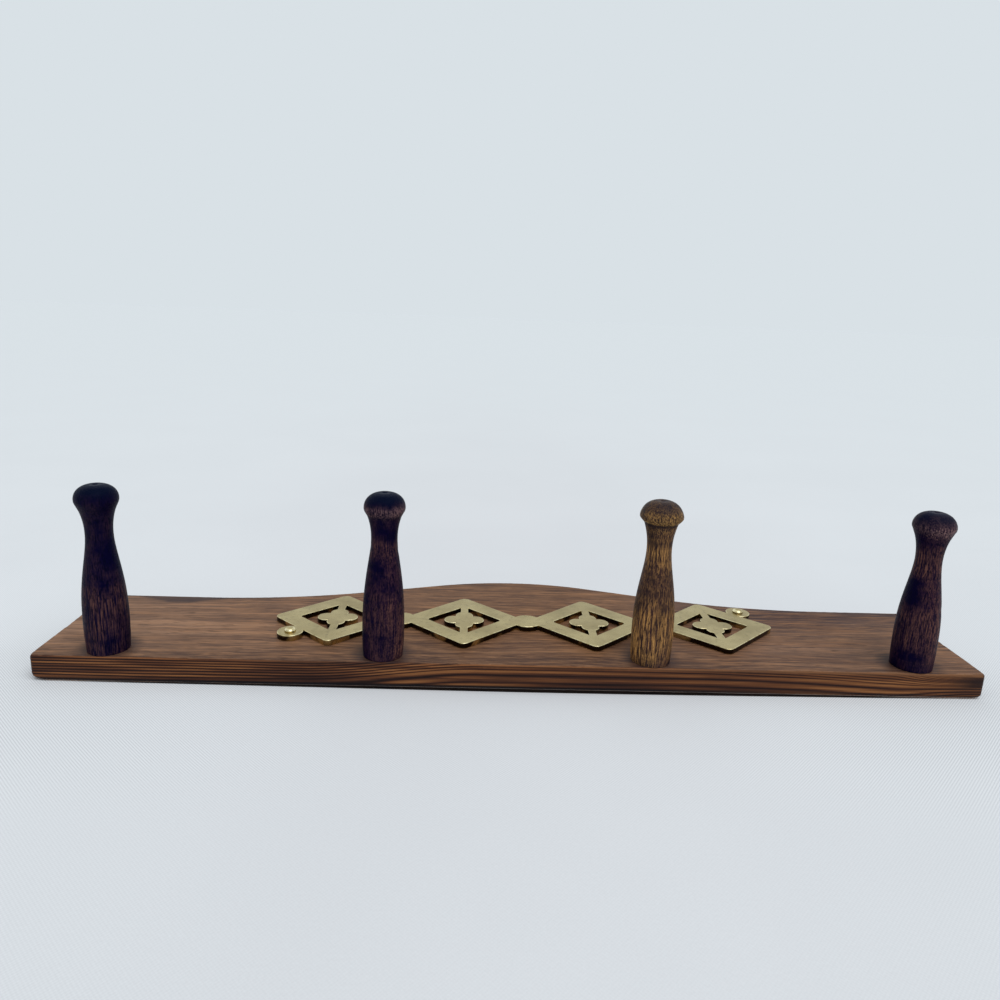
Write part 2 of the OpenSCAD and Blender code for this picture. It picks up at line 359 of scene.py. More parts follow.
def board_face(s, n, pores):
    """The figure of the face, under a painted shadow round the pegs' feet and an old stain."""
    figure = s.noise(n.grain, (6, 130, 130), 4, 0.6)
    swirl = s.noise(n.grain, (4.5, 24, 24), 1.5, 0.45, (0.31, 0, 0))
    arches = s.ramp(s.math("FRACT", s.linear(swirl, 13.0, s.times(n.line, 0.9))),
                    (0.0, 0.8), (0.25, 0.15), (0.6, 0.0), (0.92, 0.7), (1.0, 0.8))

    # It is palest towards the left, warmest in the middle, greyer along its far right and
    # darker along its lower edge
    tone = s.ramp(s.linear(n.x, 2.4, 0.5), (0.02, srgb(172, 136, 110)),
                  (0.36, srgb(130, 98, 74)), (0.57, srgb(114, 82, 58)),
                  (0.78, srgb(125, 98, 82)), (1.0, srgb(128, 98, 80)))
    lower = s.times(s.ramp(s.linear(n.z, -80.0, -2.8), (0.1, 0.0), (0.9, 0.62)),
                    s.ramp(n.along, (0.2, 1.0), (0.6, 0.15)))
    dull = s.times(s.ramp(n.along, (0.3, 0.0), (0.65, 1.0)),
                   s.ramp(s.linear(n.z, 25.0, s.times(n.cloud, 0.5)), (0.1, 0.0), (0.55, 0.9)))
    face = s.layers(
        tone,
        (lower, srgb(80, 58, 45)),
        (s.ramp(n.cloud, (0.4, 0.5), (0.6, 0.0)), srgb(84, 57, 42)),
        (dull, srgb(52, 41, 47)),
        (s.ramp(figure, (0.42, 0.38), (0.56, 0.0)), srgb(72, 48, 38)),
        (s.times(arches, 0.36), srgb(70, 49, 42)),
        (s.ramp(n.line, (0.36, 0.38), (0.52, 0.0)), srgb(64, 44, 38)),
        (s.ramp(n.line, (0.52, 0.0), (0.66, 0.38)), srgb(168, 126, 92)),
        (s.ramp(n.fibre, (0.48, 0.0), (0.66, 0.5)), srgb(164, 122, 88)),
        (s.ramp(n.fibre, (0.32, 0.5), (0.48, 0.0)), srgb(54, 36, 30)),
        (s.times(pores, 0.55), srgb(44, 28, 23)),
        (s.times(dull, 0.16), srgb(50, 42, 50)))

    # A painted shadow darkens the board round the foot of each peg
    nearest = None
    for node in PEGS:
        low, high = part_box(node)
        foot = ((low.x + high.x) / 2, n.front, (low.z + high.z) / 2)
        reach = s.distance(n.place, foot)
        nearest = reach if nearest is None else s.math("MINIMUM", nearest, reach)
    painted_foot_shadow = s.ramp(s.linear(nearest, 50.0, s.linear(n.cloud, 0.3, -0.15)),
                      (0.46, 0.62), (0.72, 0.0))

    # An old stain lies along the upper edge near the left end
    spot = s.ramp(s.times(s.math("ABSOLUTE", s.math("ADD", n.x, 0.165)), 40.0),
                  (0.2, 0.75), (0.9, 0.0))
    stain = s.math("ADD", s.linear(n.z, 110.0, s.linear(figure, 0.8, -2.25)), spot)
    stain = s.times(s.ramp(stain, (0.0, 0.0), (0.3, 1.0)),
                    s.ramp(s.linear(n.x, -20.0, -2.2), (0.0, 0.0), (0.4, 0.75)))
    return s.layers(face, (painted_foot_shadow, srgb(40, 29, 34)), (stain, srgb(44, 35, 40)))


def board_edge(s, n):
    """The growth rings along the edges. They lie close together at the left, climb towards
    the face and open out at the right."""
    close_rings, loose_rings = 1.2, 3.1     # mm apart
    change = 4.0                            # mm from the face
    sway = s.noise(n.place, (8, 60, 60), 2, 0.5, (0.3, 0, 0))
    climb = s.step(n.x, -0.09, -0.015, 6.0)
    drop = s.step(n.x, 0.08, 0.21, -4.0)
    close_up = s.step(n.x, 0.16, 0.203, 1.6)
    ring = s.linear(n.y, 1 / MM, -n.front / MM)
    ring = s.linear(s.math("SUBTRACT", ring, 5.4), close_up, ring)
    ring = s.math("ADD", s.linear(n.z, 120.0, ring), s.math("ADD", climb, drop))
    ring = s.linear(sway, 2.4, ring)
    close = s.times(s.math("MINIMUM", ring, change), 1 / close_rings)
    loose = s.times(s.math("MAXIMUM", s.math("SUBTRACT", ring, change), 0.0), 1 / loose_rings)
    late = s.ramp(s.math("FRACT", s.math("ADD", close, loose)), (0.0, 1.0), (0.1, 0.7),
                  (0.32, 0.1), (0.6, 0.0), (0.88, 0.45), (1.0, 1.0))

    broad = s.noise(n.place, (10, 110, 110), 3, 0.5, (0.12, 0, 0))
    middle = 0.42
    level = s.linear(late, 0.65, s.linear(n.hair, 0.9, -0.45))
    level = s.linear(broad, 1.3, s.math("ADD", level, -0.37))
    level = s.linear(s.ramp(n.along, (0.82, 0.0), (0.97, 1.0)), 0.12, level)
    keen = s.ramp(s.linear(n.x, 2.5, 0.5), (0.3, 1.45), (0.5, 1.0))
    level = s.linear(s.math("SUBTRACT", level, middle), keen, middle)
    edge = s.ramp(level, (0.02, srgb(142, 95, 57)), (0.25, srgb(106, 66, 40)),
                  (0.5, srgb(68, 40, 29)), (0.8, srgb(33, 19, 17)))

    # The right end is worn and soiled. Along the back the edges are painted near black: a
    # painted shadow of the gap under the board, deepest towards the middle, with grime
    depth = s.linear(n.y, -120.0, n.hair)
    worn = s.times(s.ramp(s.linear(n.fibre, 0.5, n.along), (1.02, 0.0), (1.14, 0.75)),
                   s.ramp(depth, (1.1, 0.0), (1.5, 1.0)))
    soiled = s.times(s.ramp(n.along, (0.93, 0.0), (0.99, 0.8)),
                     s.ramp(depth, (0.9, 0.0), (1.2, 1.0)))
    off_centre = s.times(s.math("ABSOLUTE", s.math("ADD", n.x, 0.04)), 1 / HALF_BOARD)
    grime_and_shade = s.times(s.ramp(s.linear(n.y, 500.0, 1.0), (0.05, 0.0), (0.4, 1.0)),
                    s.ramp(off_centre, (0.5, 0.95), (0.85, 0.5)))
    return s.layers(edge, (worn, srgb(112, 62, 48)), (soiled, srgb(28, 18, 20)),
                    (grime_and_shade, srgb(13, 10, 15)))


def board_end(s, n):
    """End grain: the rings as arcs round a heart behind the board."""
    heart = s.distance(s.stretched(n.place, (0, 1, 1)), (0, 0.05, -0.02))
    arc = s.math("FRACT", s.linear(heart, 330.0, s.times(n.cloud, 1.5)))
    late = s.ramp(arc, (0.0, 1.0), (0.2, 0.3), (0.7, 0.0), (1.0, 1.0))
    speck = s.noise(n.place, 1300, 3, 0.7)
    return s.ramp(s.linear(late, 0.7, s.times(speck, 0.6)), (0.2, srgb(86, 56, 38)),
                  (0.6, srgb(50, 31, 24)), (1.0, srgb(26, 17, 16)))


def board_wood():
    """Stained plank with a soft figure, growth rings, end grain and a rubbed front arris."""
    material = bpy.data.materials.new("board_wood")
    s = Shader(material)
    n = board_noises(s)
    pores = s.ramp(s.noise(n.grain, (120, 1500, 1500), 1, 0.5, (0.2, 0, 0)), (0.6, 0.0),
                   (0.68, 1.0))
    across = s.facing(0)
    flat = s.ramp(s.math("ABSOLUTE", s.linear(n.y, -2 / n.front, 1.0)), (0.945, 0.0),
                  (0.985, 1.0))
    edge = s.mix(s.ramp(across, (0.3, 0.0), (0.75, 0.9)), board_edge(s, n), board_end(s, n))

    rubbed = s.linear(n.x, 2.8, s.ramp(n.cloud, (0.38, 0.05), (0.62, 0.5)), clamp=True)
    rubbed = s.times(rubbed, s.ramp(across, (0.15, 1.0), (0.5, 0.25)))
    depth = s.linear(s.math("SUBTRACT", n.y, n.front), 500.0, s.linear(n.hair, 0.5, -0.25))
    arris = s.times(s.ramp(depth, (0.02, 0.0), (0.12, 1.0), (0.36, 1.0), (0.75, 0.0)), rubbed)
    colour = s.mix(arris, s.mix(flat, edge, board_face(s, n, pores)), srgb(136, 95, 64))

    normal = s.bump(s.linear(n.fibre, 0.6, s.times(n.line, 0.4)), 0.35, 0.2 * MM)
    normal = s.bump(s.math("SUBTRACT", 1.0, pores), 0.25, 0.08 * MM, normal)
    rough = s.ramp(s.linear(n.cloud, 0.5, s.times(n.fibre, 0.5)), (0.3, 0.48), (0.7, 0.66))
    s.surface(s.add("BsdfPrincipled", Base_Color=colour, Roughness=rough, Normal=normal,
                    Specular_IOR_Level=0.12).outputs[0])
    return material


def peg_wood(node, colours, seed, zones, gloss, shine, top, foot, side, long):
    """Stained turned wood with its grain along the peg. Zones are (height in mm, how far the
    stain has worn) pairs from the face up; top is how dark the dome is, foot and side how
    much more the stain has worn on the right at the foot and above it, and long how much of
    the grain runs in long lines."""
    dark, mid, light, light_head, pore = colours
    crisp = PEGS[node].crisp
    material = bpy.data.materials.new(node + "_wood")
    s = Shader(material)
    place = s.place()
    shift = (seed * 0.37, seed * 0.11, seed * 0.23)
    low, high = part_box(node)
    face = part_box("board")[0].y
    x, y, _ = s.split(place)
    streak = s.noise(place, (1900, 56, 1900), 3, 0.6, shift)
    fleck = s.noise(place, (2500, 1250, 2500), 3, 0.7, shift)
    ring = s.noise(place, (20, 480, 20), 2, 0.6, shift)
    patch = s.noise(place, (150, 80, 150), 3, 0.6, shift)
    pores = s.ramp(s.noise(place, (2400, 300, 2400), 1, shift=shift), (0.53, 0.0), (0.6, 1.0))

    # How far the stain has worn, by height, side and patch
    height = s.linear(y, -1 / PEG_UNIT, face / PEG_UNIT)
    tip = (face - low.y) / PEG_UNIT
    up = s.linear(s.math("SUBTRACT", fleck, 0.5), 0.06, height)
    zone = s.ramp(up, *[(mm * MM / PEG_UNIT, worn) for mm, worn in zones])
    across = s.times(s.math("SUBTRACT", x, (low.x + high.x) / 2), 1 / PEG_RADIUS)
    across = s.times(across, s.linear(s.ramp(height, (0.06, 1.0), (0.2, 0.0)), foot - side,
                                      side))
    wear = s.linear(patch, 1.3, s.math("ADD", -0.65, across))
    wear = s.linear(ring, 0.5, s.math("ADD", wear, -0.25))
    wear = s.math("ADD", s.times(wear, s.ramp(zone, (0.0, 0.25), (0.3, 1.0))), zone,
                  clamp=True)
    share = s.times(s.linear(zone, 0.45, long - 0.2, clamp=True),
                    s.ramp(height, (0.69, 1.0), (0.75, 0.25)))
    grain = s.linear(s.math("SUBTRACT", streak, fleck), share, fleck)

    light = s.mix(s.ramp(height, (0.72, 0.0), (0.78, 1.0)), light, light_head)
    groove = tip - PEG_HEAD / PEG_UNIT
    colour = s.layers(
        s.mix(s.ramp(patch, (0.4, 0.0), (0.6, 1.0)), dark, mid),
        (s.times(wear, s.ramp(grain, (0.41, 0.0), (0.59, 1.0))), light),
        (s.times(pores, 0.8), pore),
        (s.ramp(up, (tip - 0.07, 0.0), (tip - 0.025, top)), srgb(0, 6, 30)),
        # Painted sheen: the flat top of the dome is painted a pale grey-blue
        (s.ramp(height, (tip - 0.01, 0.0), (tip - 0.001, 0.09)), srgb(70, 76, 94)),
        # Painted shade in the crease under the head, deeper where the crease is crisper
        (s.ramp(height, (groove - 0.018, 0.0), (groove - 0.007, 0.85 * crisp),
                (groove - 0.001, 0.85 * crisp), (groove + 0.003, 0.0)), pore))
    normal = s.bump(s.math("SUBTRACT", s.times(grain, 0.7), pores), 0.35, 0.18 * MM)
    normal = s.bump(ring, 0.3, 0.3 * MM, normal)
    rough = s.ramp(fleck, (0.3, gloss), (0.7, min(gloss + 0.2, 1.0)))
    s.surface(s.add("BsdfPrincipled", Base_Color=colour, Roughness=rough, Normal=normal,
                    Specular_IOR_Level=shine, Specular_Tint=(0.75, 0.85, 1.0, 1)).outputs[0])
    return material


def brass(name, clean, dull, rough_low, rough_high):
    """Cast brass with dull patches, fine scratches and a few pits. Its rims are painted
    bright, as wear and as a painted glint, and its sides are painted dark, as tarnish and as a
    painted reflection of the dark board, with bright places left in them."""
    material = bpy.data.materials.new(name)
    s = Shader(material)
    place = s.place()
    facing = s.facing(1)
    patch = s.noise(place, (60, 60, 60), 4, 0.6)
    grime_and_shade = s.noise(place, 420, 3, 0.6)
    ripple = s.noise(place, (150, 150, 150), 2)
    scratch = s.noise(place, (240, 4000, 5200), 2, 0.6)
    pits = s.ramp(s.noise(place, 1300, 2), (0.24, 1.0), (0.32, 0.0))
    # Painted dark reflection with tarnish: the side walls are painted dark, bright in patches
    sides = s.ramp(s.math("ADD", facing, s.linear(grime_and_shade, 0.3, -0.15)), (0.08, 1.0), (0.3, 0.0))
    tarnish_and_dark_reflection = s.ramp(s.noise(place, (75, 75, 75), 2, shift=(0.4, 0, 0)), (0.52, 1.0),
                     (0.58, 0.0))
    # Painted glint with wear: the bevelled rims are painted bright
    rim = s.times(s.ramp(facing, (0.25, 0.0), (0.45, 1.0), (0.9, 1.0), (0.98, 0.0)),
                  s.ramp(grime_and_shade, (0.45, 0.9), (0.6, 0.2)))
    colour = s.layers(
        s.mix(s.ramp(patch, (0.35, 0.0), (0.65, 1.0)), clean, dull),
        (s.ramp(grime_and_shade, (0.55, 0.0), (0.75, 0.45)), srgb(118, 104, 70)),
        (s.times(pits, 0.7), srgb(60, 48, 30)),
        (s.times(sides, tarnish_and_dark_reflection), srgb(46, 36, 27)),
        (rim, srgb(250, 236, 190)))
    normal = s.bump(ripple, 0.25, 0.4 * MM)
    normal = s.bump(scratch, 0.12, 0.03 * MM, normal)
    normal = s.bump(pits, 0.4, -0.1 * MM, normal)
    rough = s.ramp(s.linear(scratch, 0.35, s.times(patch, 0.65)),
                   (0.3, rough_low), (0.7, rough_high))
    s.surface(s.add("BsdfPrincipled", Base_Color=colour, Roughness=rough, Normal=normal,
                    Metallic=1.0).outputs[0])
    return material


def cloth(name, under_board=False):
    """Pale cotton in plain weave, painted a little lighter to both sides and a little darker
    round the rack, as painted light and shade. The camera sees through it from behind, and the
    strip under the board shows to the camera alone, from the front, so that it keeps no light
    from the board's back; towards its middle that strip is painted dark grey, a painted
    shadow."""
    material = bpy.data.materials.new(name)
    s = Shader(material)
    place = s.place()
    x, _, z = s.split(place)
    soft = s.noise(place, (6, 6, 6), 3)
    slub = s.noise(place, (1000, 1, 1000), 2, 0.7)
    threads = 5100.0
    weave = s.times(*(s.math("SINE", s.times(along, threads)) for along in (x, z)))
    away = s.add("VectorMath", {"operation": "LENGTH"}, s0=place).outputs["Value"]
    near = s.math("DIVIDE", 1.0, s.linear(s.math("POWER", away, 2.0), 3.0, 1.0))
    # Painted light: the cloth is painted lighter towards both sides
    wide = s.ramp(s.math("ABSOLUTE", x), (0.06, 0.0), (0.24, 1.0))
    ground = s.mix(wide, srgb(227, 232, 237), srgb(230, 236, 241))
    # Painted shade: the cloth is painted darker round the rack
    ground = s.mix(near, srgb(218, 226, 231), ground)
    marked = s.ramp(s.times(s.math("ABSOLUTE", s.math("ADD", z, 0.07)), 10.0),
                    (0.25, 1.0), (0.7, 0.2))
    marked = s.times(marked, s.linear(wide, 0.45, 0.1))
    shade = s.linear(s.ramp(slub, (0.3, 0.0), (0.7, 1.0)), 0.05,
                     s.times(s.ramp(soft, (0.35, 0.0), (0.65, 1.0)), 0.04))
    shade = s.linear(weave, marked, s.math("ADD", shade, 0.09))
    colour = s.mix(s.times(near, shade, clamp=True), ground, srgb(112, 119, 129))
    # Painted shadow: the strip under the board is dark grey except near its ends
    if under_board:
        colour = s.mix(s.ramp(s.math("ABSOLUTE", x), (0.16, 0.0), (0.19, 1.0)),
                       srgb(70, 72, 76), colour)
    pale = s.add("BsdfDiffuse", Color=colour).outputs[0]
    clear = s.add("BsdfTransparent").outputs[0]
    camera_ray = s.add("LightPath").outputs["Is Camera Ray"]
    behind = s.add("NewGeometry").outputs["Backfacing"]
    if under_board:
        open_to = s.math("MAXIMUM", behind, s.math("SUBTRACT", 1.0, camera_ray))
    else:
        open_to = s.times(behind, camera_ray)
    s.surface(s.add("MixShader", s0=open_to, s1=pale, s2=clear).outputs[0])
    return material


# Pieces

def board_outline():
    """The board's outline as (x, z) points at even steps, with its inward normals."""
    points = cad_points("board")
    low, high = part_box("board")
    ends = points[points[:, 0] > high.x - SAME]
    ring = points[np.abs(points[:, 1] - ends[:, 1].min()) < 2 * SAME][:, [0, 2]]
    middle = np.array([0, (low.z + 20 * MM) / 2])
    ring = ring[np.argsort(np.arctan2(*(ring - middle).T[::-1]))]
    closed = np.vstack([ring, ring[:1]])
    length = running_length(closed)
    marks = [length[:-1]]
    for a, b in zip(length[:-1], length[1:]):
        parts = int((b - a) / OUTLINE_STEP)
        marks.append(a + (b - a) * np.arange(1, parts + 1) / (parts + 1))
    marks = np.sort(np.concatenate(marks))
    even = np.column_stack([np.interp(marks, length, closed[:, i]) for i in (0, 1)])
    along = np.roll(even, -1, 0) - np.roll(even, 1, 0)
    inward = np.column_stack([-along[:, 1], along[:, 0]]) / np.hypot(*along.T)[:, None]
    return even, inward


def board_rings(line):
    """The plank's rings from its back to its face, and how far each point of the outline
    gives way at the knocked lower corners. A ring is how far it lies inside the outline, its y
    and the share of the knocks that it takes."""
    low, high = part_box("board")
    count = len(line)

    def near(x, size):
        """1 at the lower end of the board that lies at x, and less away from it."""
        return np.exp(-((line - [x, low.z]) ** 2).sum(1) / (2 * size ** 2))

    rough = np.where(line[:, 1] < 0, 1.0, 0.35)
    wear = 1 + rough * (0.22 * waves(line, 0.021, 3) + 0.25 * waves(line, 0.004, 4))
    front = FRONT_ARRIS * np.clip(wear, 0.45, 1.9)
    front += 0.5 * MM * near(high.x, 5 * MM) + 0.3 * MM * near(low.x, 2 * MM)
    back = BACK_ARRIS * np.clip(1 + 0.3 * waves(line, 0.017, 5), 0.5, 1.7)
    knocks = np.array([2.4 * MM * near(low.x, 3 * MM), 1.2 * MM * near(high.x, 4 * MM)]).T
    worn_back = back + knocks.sum(1)
    hollow = 0.05 * MM * (1 + waves(line, 0.035, 6) * 0.6 + waves(line, 0.009, 7) * 0.35)
    hollow = np.clip(hollow, 0, 0.14 * MM) * rough + SKIN

    thick = high.y - low.y
    rings = [(back + RIM, -SKIN, 1)]
    for turn in np.linspace(0, math.pi / 2, 5):
        left = 1 - math.sin(turn)
        rings.append((back * left, -SKIN - worn_back * (1 - math.cos(turn)), left))
    rings += [(np.zeros(count), -thick * share, 0) for share in (0.25, 0.5, 0.75)]
    for turn in np.linspace(0, math.pi / 2, 7):
        rings.append((front * (1 - math.cos(turn)),
                      -thick + SKIN + front * (1 - math.sin(turn)), 0))
    rings.append((front + RIM, -thick + SKIN, 0))
    rings = [(depth + hollow, y, knock) for depth, y, knock in rings]
    return rings, knocks @ [[1, 1], [-1, 1]]


def make_board(material):
    """The plank with worn arrises, knocked corners and lightly uneven edges. Its bores are
    those of the CAD model."""
    line, inward = board_outline()
    count = len(line)
    rings, given = board_rings(line)
    points = []
    for depth, y, knock in rings:
        place = line + inward * depth[:, None] + given * knock
        points += [(x, v, z) for (x, z), v in zip(place, np.broadcast_to(y, count))]
    faces = bands(len(rings), count)
    faces.append(list(range(count))[::-1])
    faces.append([(len(rings) - 1) * count + i for i in range(count)])
    plank = mesh_piece("board_plank", points, faces, smooth=False)
    exact = welded_copy("board", "board_exact")
    cut = plank.modifiers.new("bores", "BOOLEAN")
    cut.operation = "INTERSECT"
    cut.solver = "EXACT"
    cut.object = exact
    applied(plank)
    dropped(exact)
    plank.data.shade_smooth()
    plank.data.set_sharp_from_angle(angle=math.radians(38))
    finish_piece(plank, "board", material)


def rounded_side(points, corners):
    """A smooth line through the points, kept sharp at the numbered corners."""
    out = []
    marks = [0, *corners, len(points) - 1]
    for a, b in zip(marks[:-1], marks[1:]):
        part = points[a:b + 1]
        ends = np.vstack([2 * part[0] - part[1], part, 2 * part[-1] - part[-2]])
        for i in range(1, len(ends) - 2):
            p0, p1, p2, p3 = ends[i - 1:i + 3]
            steps = max(1, round(np.linalg.norm(p2 - p1) / PEG_STEP))
            for t in np.arange(steps) / steps:
                out.append(0.5 * (2 * p1 + (p2 - p0) * t
                                  + (2 * p0 - 5 * p1 + 4 * p2 - p3) * t ** 2
                                  + (3 * p1 - p0 - 3 * p2 + p3) * t ** 3))
    out.append(points[-1])
    return np.array(out)


def peg_profile(node, axis):
    """A peg's profile from the end of its tenon to its tip, as (radius, distance from the
    wall) points: that of the CAD model, with a softened crease and a fuller neck and rim."""
    shape = PEGS[node]
    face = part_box("board")[0].y
    points = cad_points(node)
    radius = np.hypot(points[:, 0] - axis[0], points[:, 2] - axis[1])
    side = np.unique(np.column_stack([radius, -points[:, 1]]).round(6), axis=0)
    tip = side[:, 1].max()
    tenon = side[(side[:, 1] < -face + SAME) & (side[:, 0] < PEG_TENON)]
    tenon = tenon[np.lexsort((tenon[:, 0], tenon[:, 1]))]
    body = side[(side[:, 1] > -face - SAME) & (side[:, 0] > PEG_TENON)
                | (side[:, 1] > -face + SAME) & (side[:, 1] < tip - SAME)
                & (side[:, 0] > 3 * MM)]
    body = body[np.argsort(body[:, 1])]
    apart = np.hypot(*np.diff(body, axis=0).T)
    body = body[np.concatenate([[True], apart > 0.05 * MM])]
    top = side[side[:, 1] > tip - SAME]
    top = top[np.argsort(-top[:, 0])]
    mark = side[(side[:, 1] > tip - 1.5 * MM) & (side[:, 0] < ON_AXIS)]
    body = np.vstack([body, top[:1]])

    # The crease is the sharpest hollow between the neck and the head
    step = np.diff(body, axis=0)
    bend = np.diff(np.arctan2(step[:, 0], step[:, 1]))
    crease = int(np.argmax(np.where(body[1:-1, 1] > tip / 2, bend, -1))) + 1
    crease_up = body[crease][1]
    rim_up = body[crease + np.argmax(body[crease:, 0])][1]
    body = rounded_side(body, [crease])
    where = running_length(body)
    soft = (1 - shape.crisp) * 2.0 * MM + 0.12 * MM
    weigh = np.exp(-(where[:, None] - where[None, :]) ** 2 / (2 * soft ** 2))
    at_crease = np.argmin(np.abs(body[:, 1] - crease_up))
    blend = np.exp(-((where - where[at_crease]) / (3 * soft + 0.4 * MM)) ** 2)[:, None]
    body = body * (1 - blend) + (weigh @ body / weigh.sum(1)[:, None]) * blend
    body[:, 0] += shape.neck * np.exp(-((body[:, 1] - crease_up + 20 * MM) / (11 * MM)) ** 2)
    reach = np.where(body[:, 1] < rim_up, 1.1, 2.6) * MM
    body[:, 0] += shape.rim * np.exp(
        -((body[:, 1] - rim_up + 0.6 * MM * shape.crisp) / reach) ** 2)
    foot = body[0]
    return np.array([
        (0.0, tenon[0][1]), *tenon,
        (foot[0] - 0.35 * MM, foot[1]), (foot[0] - 0.1 * MM, foot[1] + 0.08 * MM),
        *body[1:], *(p for p in top[1:] if p[0] > ON_AXIS),
        (0.0, mark[:, 1].min() if len(mark) else tip)])


def make_peg(node, material):
    """A peg turned to its profile, with tool marks, small dents and a slight lean."""
    shape = PEGS[node]
    low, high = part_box(node)
    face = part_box("board")[0].y
    axis = np.array([(low.x + high.x) / 2, (low.z + high.z) / 2])
    profile = peg_profile(node, axis)
    tip = round(-low.y, 6)
    turn = np.arange(PEG_SEGMENTS) * 2 * math.pi / PEG_SEGMENTS
    rng = np.random.default_rng(shape.seed)
    dents = [(rng.uniform(0, 2 * math.pi), rng.uniform(0.018, tip - 0.004),
              rng.uniform(0.5, 1.3) * MM, rng.uniform(0.04, 0.14) * MM) for _ in range(14)]
    verts, rings = [], []
    for radius, y in profile:
        if radius < SAME:
            rings.append([len(verts)])
            verts.append((0, 0, y))
            continue
        off = np.zeros(PEG_SEGMENTS)
        if y > -face + 0.3 * MM:
            spot = np.column_stack([np.cos(turn), np.sin(turn),
                                    np.full(PEG_SEGMENTS, y / 0.03)])
            off += 0.06 * MM * (1 + 0.8 * waves(spot, 2.5, shape.seed))
            off += 0.012 * MM * (1 + math.sin(y * 2 * math.pi / (1.15 * MM) + shape.seed))
            for angle, up, size, depth in dents:
                apart = np.abs((turn - angle + math.pi) % (2 * math.pi) - math.pi) * radius
                off += depth * np.exp(-(apart ** 2 + (y - up) ** 2) / (2 * size ** 2))
            off *= min(1.0, radius / (2 * MM))
        rings.append(list(range(len(verts), len(verts) + PEG_SEGMENTS)))
        verts += [(a * c, a * d, y) for a, c, d in zip(radius - off, np.cos(turn),
                                                       np.sin(turn))]
    tilt, rise = (math.tan(math.radians(a)) for a in (shape.lean, PEG_RISE))
    place = [(axis[0] + x + max(y + face, 0) * tilt, -y, axis[1] + z + max(y + face, 0) * rise)
             for x, z, y in verts]
    peg = mesh_piece(node + "_turned", place, turned(rings))
    peg.data.set_sharp_from_angle(angle=math.radians(50))
    finish_piece(peg, node, material)


def front_loops(node):
    """The outlines of a flat CAD node's front face, as loops of (x, z) points."""
    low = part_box(node)[0]
    source = welded(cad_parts[node].data)
    for f in source.faces:
        f.tag = all(v.co.y < low.y + SAME for v in f.verts)
    after = {}
    for f in (f for f in source.faces if f.tag):
        for loop in f.loops:
            if sum(g.tag for g in loop.edge.link_faces) == 1:
                after[loop.vert.index] = loop.link_loop_next.vert.index
    where = {v.index: (v.co.x, v.co.z) for v in source.verts}
    source.free()
    loops = []
    while after:
        start, at = next(iter(after.items()))
        loop = [start]
        del after[start]
        while at != start:
            loop.append(at)
            at = after.pop(at)
        loops.append([where[i] for i in loop])
    return loops


def make_ornament(material):
    """The casting, with rounded edges; its material paints them bright, as wear and as a
    painted glint.
    """
    low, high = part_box("brass_ornament")
    half = (high.y - low.y) / 2
    piece = filled("brass_openwork", front_loops("brass_ornament"), half, CAST_EDGE)
    piece.data.transform(Matrix.Translation((0, (low.y + high.y) / 2, 0)))
    piece.data.shade_smooth()
    piece.data.set_sharp_from_angle(angle=math.radians(30))
    finish_piece(piece, "brass_ornament", material)


def make_pins(material):
    """Two round-headed pins, hammered a little flat, with their shanks."""
    points = cad_points("ornament_pins")
    left = points[:, 0] < points[:, 0].mean()
    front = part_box("brass_ornament")[0].y
    rim = 0.2 * MM
    verts, faces = [], []
    for number, group in enumerate((points[left], points[~left])):
        (x_low, tip, z_low), (x_high, end, z_high) = group.min(0), group.max(0)
        x, z = (x_low + x_high) / 2, (z_low + z_high) / 2
        r = (x_high - x_low) / 2
        tall = front - tip
        shank = [(0.0, end), (PIN_SHANK, end - 1.8 * MM), (PIN_SHANK, front - SKIN),
                 (r - 0.12 * MM, front - SKIN)]
        head = [(r, front - rim)]
        for k in range(1, 9):
            a = k / 9 * math.pi / 2
            head.append((r * math.cos(a) ** 0.85,
                         front - rim - (tall - 0.25 * MM) * math.sin(a)))
        head.append((0.0, tip + 0.04 * MM))
        rings = []
        for k, (radius, y) in enumerate(shank + head):
            if radius == 0:
                rings.append([len(verts)])
                verts.append((x, y, z))
                continue
            rings.append(list(range(len(verts), len(verts) + PIN_SEGMENTS)))
            for i in range(PIN_SEGMENTS):
                a = 2 * math.pi * i / PIN_SEGMENTS
                dent = 0.05 * MM * (1 + math.sin(3 * a + number * 2 + k * 0.4)) / 2
                q = radius - (dent if k >= len(shank) else 0)
                verts.append((x + q * math.cos(a), y, z + q * math.sin(a)))
        faces += turned(rings)
    pins = mesh_piece("pins_domed", verts, faces)
    pins.data.set_sharp_from_angle(angle=math.radians(50))
    finish_piece(pins, "ornament_pins", material)


# Backdrop, camera and light

